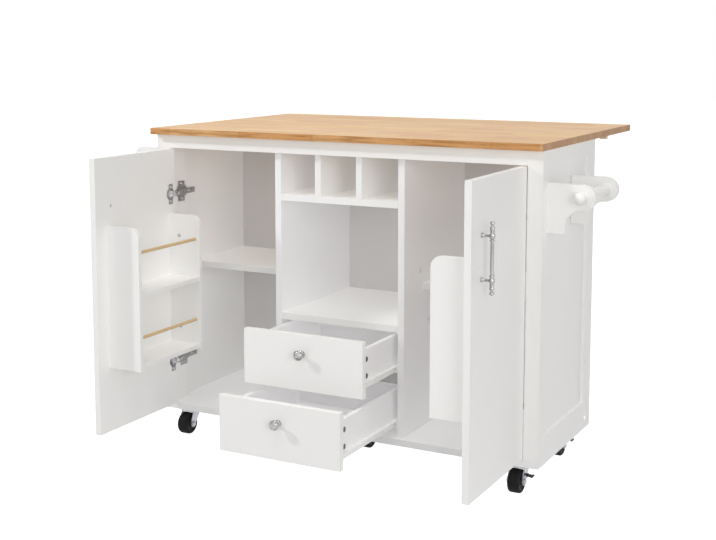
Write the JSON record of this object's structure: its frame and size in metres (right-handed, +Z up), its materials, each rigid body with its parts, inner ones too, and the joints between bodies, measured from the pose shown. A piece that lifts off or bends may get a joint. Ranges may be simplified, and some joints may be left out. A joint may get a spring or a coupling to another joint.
{
  "type": "drop leaf kitchen island",
  "caption": "White kitchen island on casters with a wooden top and drop leaf, inset doors with racks, an open niche over drawers, a towel rail and a spice rack.",
  "frame": {"origin": "on the floor, in the middle of the footprint with the doors open and the leaf up", "axes": "+X to the right along the front, +Y to the back, +Z up"},
  "size_m": [1.399, 1.107, 0.908],
  "materials": {
    "oak_top": "satin oiled staves",
    "white_paint": "satin white paint on board",
    "pale_wood": "bare dowel wood",
    "polished_nickel": "polished",
    "plated_steel": "nickel plated",
    "white_steel": "white powder coat",
    "caster_steel": "zinc plated",
    "wheel_rubber": "matt",
    "black_plastic": "matt"
  },
  "bodies": {
    "cabinet": {"worktop": "oak_top", "side_frames": "white_paint", "side_panels": "white_paint", "bottom_panel": "white_paint", "back_panel": "white_paint", "dividers": "white_paint", "apron": "white_paint", "rear_rail": "white_paint", "front_posts": "white_paint", "bottle_shelf": "white_paint", "bottle_dividers": "white_paint", "niche_floor": "white_paint", "bay_shelves": "white_paint", "shelf_pins_and_caps": "plated_steel", "hinge_mounts": "plated_steel", "fixed_runners": "white_steel", "leaf_hinge_plates": "plated_steel", "bracket_hinge_plates": "plated_steel", "towel_arms": "white_paint", "towel_rail": "white_paint", "spice_rack": "white_paint", "spice_rack_dowels": "pale_wood", "caster_plates": "caster_steel"},
    "door_left": {"door_left": "white_paint", "handle_left": "polished_nickel", "hinge_cups_left": "plated_steel", "door_rack_left": "white_paint", "rack_dowels_left": "pale_wood"},
    "door_right": {"door_right": "white_paint", "handle_right": "polished_nickel", "hinge_cups_right": "plated_steel", "door_rack_right": "white_paint", "rack_dowels_right": "pale_wood"},
    "drawer_upper": {"drawer_front_upper": "white_paint", "drawer_box_upper": "white_paint", "drawer_bottom_upper": "white_paint", "slides_upper": "white_steel", "knob_upper": "polished_nickel"},
    "drawer_lower": {"drawer_front_lower": "white_paint", "drawer_box_lower": "white_paint", "drawer_bottom_lower": "white_paint", "slides_lower": "white_steel", "knob_lower": "polished_nickel"},
    "leaf": {"drop_leaf": "oak_top", "leaf_hinge_flaps": "plated_steel", "leaf_pads": "pale_wood"},
    "bracket_left": {"bracket_left": "white_paint", "bracket_hinge_left": "plated_steel"},
    "bracket_right": {"bracket_right": "white_paint", "bracket_hinge_right": "plated_steel"},
    "fork_front_left": {"fork_front_left": "caster_steel"},
    "wheel_front_left": {"wheel_front_left": "wheel_rubber"},
    "fork_front_right": {"fork_front_right": "caster_steel"},
    "wheel_front_right": {"wheel_front_right": "wheel_rubber"},
    "fork_rear_left": {"fork_rear_left": "caster_steel"},
    "wheel_rear_left": {"wheel_rear_left": "wheel_rubber"},
    "fork_rear_right": {"fork_rear_right": "caster_steel"},
    "wheel_rear_right": {"wheel_rear_right": "wheel_rubber"},
    "brake_front_right": {"brake_front_right": "black_plastic"},
    "brake_rear_right": {"brake_rear_right": "black_plastic"}
  },
  "joints": [
    {"name": "door_left_swing", "type": "hinge", "parent": "cabinet", "child": "door_left", "pos_m": [-0.552, -0.201, 0.475], "axis": [0, 0, 1], "range_deg": [-15, 90]},
    {"name": "door_right_swing", "type": "hinge", "parent": "cabinet", "child": "door_right", "pos_m": [0.535, -0.201, 0.475], "axis": [0, 0, -1], "range_deg": [-15, 90]},
    {"name": "drawer_upper_slide", "type": "slide", "parent": "cabinet", "child": "drawer_upper", "axis": [0, 1, 0], "range_m": [-0.126, 0.179]},
    {"name": "drawer_lower_slide", "type": "slide", "parent": "cabinet", "child": "drawer_lower", "axis": [0, 1, 0], "range_m": [-0.006, 0.299]},
    {"name": "leaf_drop", "type": "hinge", "parent": "cabinet", "child": "leaf", "pos_m": [-0.0085, 0.278, 0.885], "axis": [-1, 0, 0], "range_deg": [0, 90]},
    {"name": "bracket_left_swing", "type": "hinge", "parent": "cabinet", "child": "bracket_left", "pos_m": [-0.5685, 0.2305, 0.76], "axis": [0, 0, -1], "range_deg": [-90, 0]},
    {"name": "bracket_right_swing", "type": "hinge", "parent": "cabinet", "child": "bracket_right", "pos_m": [0.5515, 0.2305, 0.76], "axis": [0, 0, 1], "range_deg": [-90, 0]},
    {"name": "swivel_front_left", "type": "hinge", "parent": "cabinet", "child": "fork_front_left", "pos_m": [-0.5255, -0.1505, 0.07], "axis": [0, 0, 1], "continuous": true},
    {"name": "roll_front_left", "type": "hinge", "parent": "fork_front_left", "child": "wheel_front_left", "pos_m": [-0.5255, -0.1705, 0.031], "axis": [1, 0, 0], "continuous": true},
    {"name": "swivel_front_right", "type": "hinge", "parent": "cabinet", "child": "fork_front_right", "pos_m": [0.5085, -0.1505, 0.07], "axis": [0, 0, 1], "continuous": true},
    {"name": "roll_front_right", "type": "hinge", "parent": "fork_front_right", "child": "wheel_front_right", "pos_m": [0.5085, -0.1705, 0.031], "axis": [1, 0, 0], "continuous": true},
    {"name": "swivel_rear_left", "type": "hinge", "parent": "cabinet", "child": "fork_rear_left", "pos_m": [-0.5255, 0.1755, 0.07], "axis": [0, 0, 1], "continuous": true},
    {"name": "roll_rear_left", "type": "hinge", "parent": "fork_rear_left", "child": "wheel_rear_left", "pos_m": [-0.5255, 0.1555, 0.031], "axis": [1, 0, 0], "continuous": true},
    {"name": "swivel_rear_right", "type": "hinge", "parent": "cabinet", "child": "fork_rear_right", "pos_m": [0.5085, 0.1755, 0.07], "axis": [0, 0, 1], "continuous": true},
    {"name": "roll_rear_right", "type": "hinge", "parent": "fork_rear_right", "child": "wheel_rear_right", "pos_m": [0.5085, 0.1555, 0.031], "axis": [1, 0, 0], "continuous": true},
    {"name": "brake_front_right", "type": "hinge", "parent": "fork_front_right", "child": "brake_front_right", "pos_m": [0.5345, -0.1665, 0.046], "axis": [0, 1, 0], "range_deg": [0, 12]},
    {"name": "brake_rear_right", "type": "hinge", "parent": "fork_rear_right", "child": "brake_rear_right", "pos_m": [0.5345, 0.1595, 0.046], "axis": [0, 1, 0], "range_deg": [0, 12]}
  ]
}
